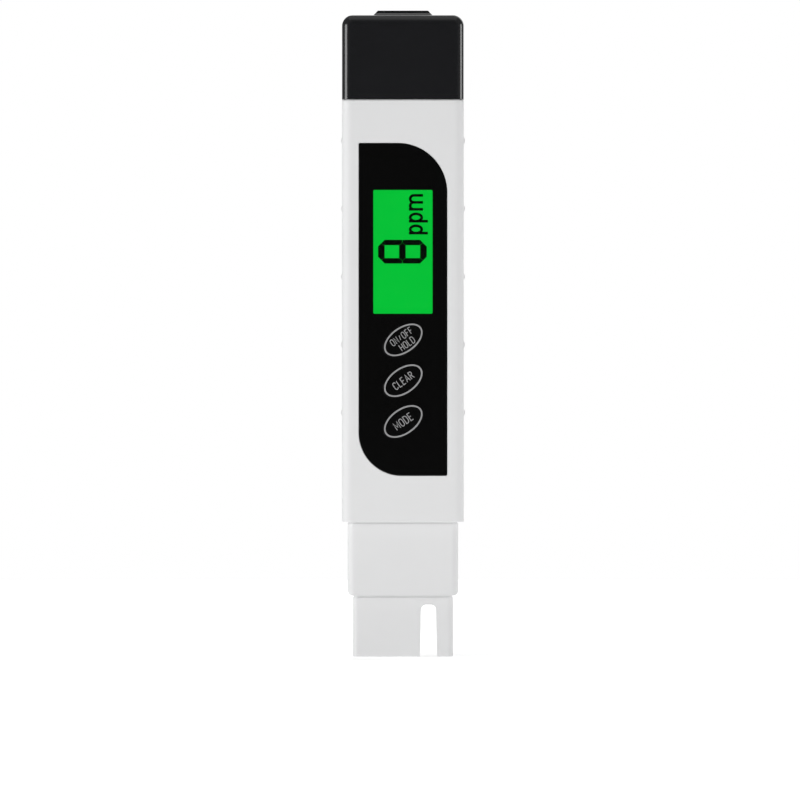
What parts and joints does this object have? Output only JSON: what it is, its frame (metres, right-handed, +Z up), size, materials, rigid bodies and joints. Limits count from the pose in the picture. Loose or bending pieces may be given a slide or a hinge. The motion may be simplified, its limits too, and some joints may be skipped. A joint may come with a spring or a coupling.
{
  "type": "digital water tester",
  "caption": "Pocket digital water tester: slim white body with a glossy black display panel and oval keys, slotted probe nose below, pull-off black battery cap with pocket clip.",
  "frame": {"origin": "middle of the nose's open rim, on the body's mid plane in depth: the tester stands on this rim", "axes": "+Z up the body from the probe nose to the battery cap; the display faces -Y; +X is to the right when the display is read from the front"},
  "size_m": [0.0294, 0.0165, 0.154],
  "materials": {
    "white_body": "satin moulded ABS",
    "black_panel": "high gloss",
    "panel_tape": "matt",
    "clear_window": "polished",
    "key_black": "satin, printed",
    "polariser_film": "smooth film",
    "lcd_glass": "polished",
    "light_guide": "lit green from inside",
    "reflector_film": "matt white film",
    "frame_plastic": "matt",
    "zebra_rubber": "soft",
    "led_lens": "clear lens",
    "board_green": "solder mask",
    "switch_shell": "stamped",
    "plunger_plastic": "matt",
    "chip_epoxy": "glossy dome",
    "crystal_can": "drawn can",
    "chip_black": "moulded",
    "resistor_black": "fired",
    "capacitor_tan": "fired",
    "seal_rubber": "soft",
    "potting_epoxy": "poured",
    "electrode_titanium": "drawn rod",
    "sleeve_steel": "polished",
    "lead_insulation": "soft PVC",
    "carrier_black": "moulded",
    "cell_steel": "nickel plated",
    "contact_nickel": "plated strip",
    "cap_black": "fine satin moulding",
    "clip_black": "fine satin moulding"
  },
  "bodies": {
    "tester": {"housing": "white_body", "front_panel": "black_panel", "panel_adhesive": "panel_tape", "display_window": "clear_window", "front_polariser": "polariser_film", "lcd_front_glass": "lcd_glass", "lcd_rear_glass": "lcd_glass", "rear_polariser": "polariser_film", "backlight_guide": "light_guide", "backlight_reflector": "reflector_film", "lcd_frame": "frame_plastic", "zebra_strip": "zebra_rubber", "backlight_leds": "led_lens", "circuit_board": "board_green", "switch_bodies": "switch_shell", "controller_blob": "chip_epoxy", "clock_crystal": "crystal_can", "chip_resistors": "resistor_black", "chip_capacitors": "capacitor_tan", "amplifier_chip": "chip_black", "probe_head": "white_body", "head_seal": "seal_rubber", "sealing_epoxy": "potting_epoxy", "electrode_left": "electrode_titanium", "electrode_right": "electrode_titanium", "thermistor_sleeve": "sleeve_steel", "probe_leads": "lead_insulation", "battery_carrier": "carrier_black", "button_cell_left": "cell_steel", "button_cell_right": "cell_steel", "contact_bridge": "contact_nickel", "contact_left": "contact_nickel", "contact_right": "contact_nickel", "cap_seal": "seal_rubber"},
    "cap": {"battery_cap": "cap_black", "clip_foot": "clip_black"},
    "clip": {"clip_arm": "clip_black"},
    "power_key": {"key_power": "key_black", "switch_plunger_power": "plunger_plastic"},
    "clear_key": {"key_clear": "key_black", "switch_plunger_clear": "plunger_plastic"},
    "mode_key": {"key_mode": "key_black", "switch_plunger_mode": "plunger_plastic"}
  },
  "joints": [
    {"name": "cap_slide", "type": "slide", "parent": "tester", "child": "cap", "axis": [0, 0, 1], "range_m": [0, 0.025]},
    {"name": "clip_flex", "type": "hinge", "parent": "cap", "child": "clip", "pos_m": [0, 0.0059, 0.1508], "axis": [1, 0, 0], "range_deg": [0, 5], "stiffness_Nm_per_rad": 0.3, "springref_deg": -1.72},
    {"name": "power_key_press", "type": "slide", "parent": "tester", "child": "power_key", "axis": [0, 1, 0], "range_m": [0, 0.0003], "stiffness_N_per_m": 2000, "springref_m": -0.0005},
    {"name": "clear_key_press", "type": "slide", "parent": "tester", "child": "clear_key", "axis": [0, 1, 0], "range_m": [0, 0.0003], "stiffness_N_per_m": 2000, "springref_m": -0.0005},
    {"name": "mode_key_press", "type": "slide", "parent": "tester", "child": "mode_key", "axis": [0, 1, 0], "range_m": [0, 0.0003], "stiffness_N_per_m": 2000, "springref_m": -0.0005}
  ]
}
